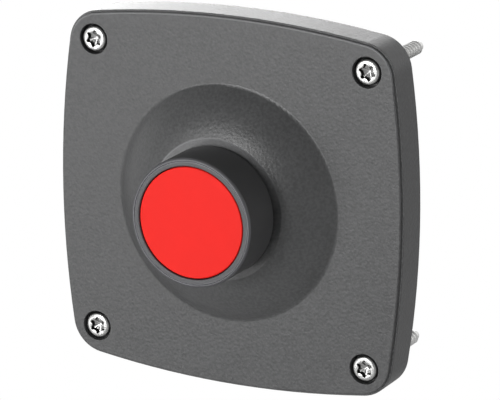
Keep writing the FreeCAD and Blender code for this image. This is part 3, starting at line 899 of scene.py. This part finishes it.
def coil_shape():
    """The tree that winds a compression spring along Y, with closed coils at both ends."""
    shape = Shape(
        "coil_spring",
        {
            "Wire Radius": "float",
            "Coil Radius": "float",
            "Turns": "float",
            "Closed Turns": "float",
            "Low End": "float",
            "High End": "float",
            "Steps Per Turn": "int",
            "Wire Sides": "int",
        },
    )
    wire = shape.number("Wire Radius")
    coil = shape.number("Coil Radius")
    turns = shape.number("Turns")
    closed = shape.number("Closed Turns")
    low = shape.number("Low End")
    high = shape.number("High End")
    line = shape.add("GeometryNodeCurvePrimitiveLine")
    count = shape.whole(turns * shape.number("Steps Per Turn") + 1.0)
    wound = shape.add(
        "GeometryNodeResampleCurve",
        inputs={"Curve": line.outputs[0], "Count": count},
    )
    share = shape.value(shape.add("GeometryNodeSplineParameter"), "Factor")
    turn = share * turns
    dead_rise = closed * wire * 2.0
    live_rise = high - low - wire * 2.0 - dead_rise * 2.0
    first = (turn / closed).least(1.0) * dead_rise
    middle = ((turn - closed) / (turns - closed * 2.0)).clamped() * live_rise
    last = ((turn - turns + closed) / closed).most(0.0) * dead_rise
    height = low + wire + first + middle + last
    angle = turn * (2 * math.pi)
    helix = shape.joined(angle.sin() * coil, height, angle.cos() * coil)
    path = shape.placed(wound.outputs[0], helix)
    section = shape.add(
        "GeometryNodeCurvePrimitiveCircle",
        inputs={"Resolution": shape.given.outputs["Wire Sides"], "Radius": wire},
    )
    spring = shape.add(
        "GeometryNodeCurveToMesh",
        inputs={"Curve": path, "Profile Curve": section.outputs[0], "Fill Caps": True},
    )
    smooth = shape.add("GeometryNodeSetShadeSmooth", inputs={"Geometry": spring.outputs[0]})
    shape.close(smooth.outputs[0])
    return shape


def screw_points(name, places):
    """A mesh of single points, each with the turn of its screw."""
    mesh = bpy.data.meshes.new(name)
    mesh.from_pydata([(x, 0, z) for x, z, turn in places], [], [])
    turns = mesh.attributes.new("turn", "FLOAT", "POINT")
    for item, (x, z, turn) in zip(turns.data, places):
        item.value = math.radians(turn)
    return mesh


def add_screws(finishes):
    """The four cover screws and the two terminal screws, with their threads."""
    shape = threaded_shape()
    body = new_piece("cover_screw_pattern", cover_screw_mesh(), None)
    places = [(sx * SCREW_PLACE, sz * SCREW_PLACE, -turn) for (sx, sz), turn in SCREW_TURNS.items()]
    screws = grown(
        "threaded_cover_screws",
        screw_points("cover_screw_points", places),
        shape,
        {
            "Body": body,
            "Core Radius": THREAD_CORE,
            "Crest Radius": THREAD_CREST,
            "Pitch": THREAD_PITCH,
            "Thread Start": THREAD_START + BARE_START,
            "Thread Length": SCREW_TIP - THREAD_START - BARE_BOTH_ENDS,
            "Crest Width": THREAD_LAND,
            "Root Width": THREAD_ROOT,
            "Runout Turns": 0.6,
            "Steps Per Turn": 32,
        },
        finishes["screw_steel"],
    )
    bpy.data.objects.remove(body)
    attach(screws, "plate")
    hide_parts("cover_screws")

    body = new_piece("terminal_screw_pattern", terminal_screw_mesh(), None)
    terminals = grown(
        "threaded_terminal_screws",
        screw_points("terminal_points", [(0, TERMINAL_PLACE, 24), (0, -TERMINAL_PLACE, 71)]),
        shape,
        {
            "Body": body,
            "Core Radius": TERMINAL_CORE,
            "Crest Radius": TERMINAL_CREST,
            "Pitch": TERMINAL_PITCH,
            "Thread Start": TERMINAL_TIP + BARE_START,
            "Thread Length": TERMINAL_SEAT - TERMINAL_TIP - BARE_BOTH_ENDS,
            "Crest Width": TERMINAL_LAND,
            "Root Width": TERMINAL_ROOT,
            "Runout Turns": 0.5,
            "Steps Per Turn": 24,
        },
        finishes["plated_steel"],
    )
    bpy.data.objects.remove(body)
    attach(terminals, "plate")
    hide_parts("terminal_screws")


def add_springs(finishes):
    """The three compression springs. Those between the plate and a slider get a mesh of their own.
    """
    shape = coil_shape()
    springs = (
        ("return_coil", "return_spring", "plate", RETURN_SPRING, "button_press"),
        ("contact_coil", "contact_spring", "plate", CONTACT_SPRING, "contact_slide"),
        ("bridge_coil", "bridge_spring", "slider", BRIDGE_SPRING, None),
    )
    for name, node, body, sizes, joint in springs:
        wire, coil, turns, low, high = sizes
        spring = grown(
            name,
            bpy.data.meshes.new(name + "_empty"),
            shape,
            {
                "Wire Radius": wire * MM,
                "Coil Radius": coil * MM,
                "Turns": turns,
                "Closed Turns": 0.75,
                "Low End": low * MM,
                "High End": high * MM,
                "Steps Per Turn": 48,
                "Wire Sides": 14,
            },
            finishes["spring_steel"],
        )
        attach(spring, body)
        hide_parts(node)
        if joint:
            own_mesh(spring)


def coat_nodes(frame, finishes):
    """Each carried-over node takes the finish of its slot."""
    slots = {part["node"]: part["material_slot"] for part in frame["record"]["subparts"]}
    for name, node in frame["nodes"].items():
        finish = finishes[slots[name]]
        if node.material_slots:
            for slot in node.material_slots:
                slot.material = finish
        else:
            node.data.materials.append(finish)


def add_floor():
    """A pale floor well below the object, which keeps its shadow.

    Far from the object the camera sees it plain white. Mirrored rays see it white too, but dimmer.
    """
    mesh = bpy.data.meshes.new("pale_floor")
    reach = FLOOR_REACH
    corners = [(-reach, -reach), (reach, -reach), (reach, reach), (-reach, reach)]
    mesh.from_pydata([(x, y, FLOOR_HEIGHT) for x, y in corners], [], [(0, 1, 2, 3)])
    floor = Finish("floor_paint", Roughness=0.9)
    x, y, z = floor.split(floor.place)
    away = (x * x + y * y).root()
    far = ((away - FLOOR_NEAR) / FLOOR_FADE).clamped()
    path = floor.add("ShaderNodeLightPath")
    direct = floor.value(path, "Is Camera Ray")
    seen = direct.most(floor.value(path, "Is Glossy Ray"))
    seen = seen.most(floor.value(path, "Is Transmission Ray"))
    share = (seen * far).most(direct * FLOOR_GLOW)
    strength = direct.most(FLOOR_MIRRORED)
    floor.paint(colour=floor.colours(floor.noise(4.0, 3.0), *FLOOR_PAINT))
    white = floor.add("ShaderNodeEmission", inputs={"Color": (1, 1, 1, 1), "Strength": strength})
    mix = floor.add(
        "ShaderNodeMixShader",
        inputs={0: share, 1: floor.shader.outputs[0], 2: white.outputs[0]},
    )
    floor.feed(floor.output.inputs["Surface"], mix.outputs[0])
    new_piece("floor", mesh, floor.material)


def set_world():
    """Dim even light all round, which the camera sees as plain white.

    Mirrored rays see white behind the object and a dimmer grey in front of it.
    """
    world = bpy.data.worlds.new("studio")
    bpy.context.scene.world = world
    world.use_nodes = True
    sky = Tree(world.node_tree)
    sky.tree.nodes.clear()
    path = sky.add("ShaderNodeLightPath")
    direct = sky.value(path, "Is Camera Ray").most(sky.value(path, "Is Transmission Ray"))
    mirrored = sky.value(path, "Is Glossy Ray")
    depth = sky.split(sky.add("ShaderNodeTexCoord").outputs["Generated"])[1]
    behind = (depth * BEHIND_GAIN + BEHIND_SHIFT).clamped()
    glow = mirrored * (behind * (1.0 - FRONT_DIM) + FRONT_DIM - WORLD_LIGHT) + WORLD_LIGHT
    strength = direct.most(glow)
    background = sky.add(
        "ShaderNodeBackground",
        inputs={"Color": (1, 1, 1, 1), "Strength": strength},
    )
    sky.add("ShaderNodeOutputWorld", inputs={"Surface": background.outputs[0]})


def add_lights():
    for name, direction, distance, width, height, power in LIGHTS:
        lamp = bpy.data.lights.new(name, "AREA")
        lamp.shape = "RECTANGLE"
        lamp.size = width
        lamp.size_y = height
        lamp.energy = power
        light = bpy.data.objects.new(name, lamp)
        bpy.context.scene.collection.objects.link(light)
        away = Vector(direction).normalized()
        light.location = away * distance
        light.rotation_euler = (-away).to_track_quat("-Z", "Y").to_euler()


def add_camera():
    lens = bpy.data.cameras.new("photo_camera")
    lens.lens = CAMERA_LENS
    lens.sensor_width = CAMERA_SENSOR
    lens.clip_start = CAMERA_NEAR
    lens.clip_end = CAMERA_FAR
    camera = bpy.data.objects.new("photo_camera", lens)
    bpy.context.scene.collection.objects.link(camera)
    camera.location = CAMERA_PLACE
    line = Vector(CAMERA_AIM) - Vector(CAMERA_PLACE)
    camera.rotation_euler = line.to_track_quat("-Z", "Y").to_euler()
    bpy.context.scene.camera = camera


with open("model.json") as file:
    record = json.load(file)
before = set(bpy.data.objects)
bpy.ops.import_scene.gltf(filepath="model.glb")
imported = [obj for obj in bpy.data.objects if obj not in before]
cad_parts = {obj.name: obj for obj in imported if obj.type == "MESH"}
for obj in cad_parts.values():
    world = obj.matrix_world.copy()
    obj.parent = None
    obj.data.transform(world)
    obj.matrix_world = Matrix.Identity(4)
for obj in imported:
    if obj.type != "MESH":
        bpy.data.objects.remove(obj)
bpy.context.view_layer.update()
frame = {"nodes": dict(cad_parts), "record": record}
finishes = made_finishes()
coat_nodes(frame, finishes)
add_screws(finishes)
add_springs(finishes)
add_floor()
set_world()
add_lights()
add_camera()
bpy.context.scene.view_settings.view_transform = "Standard"
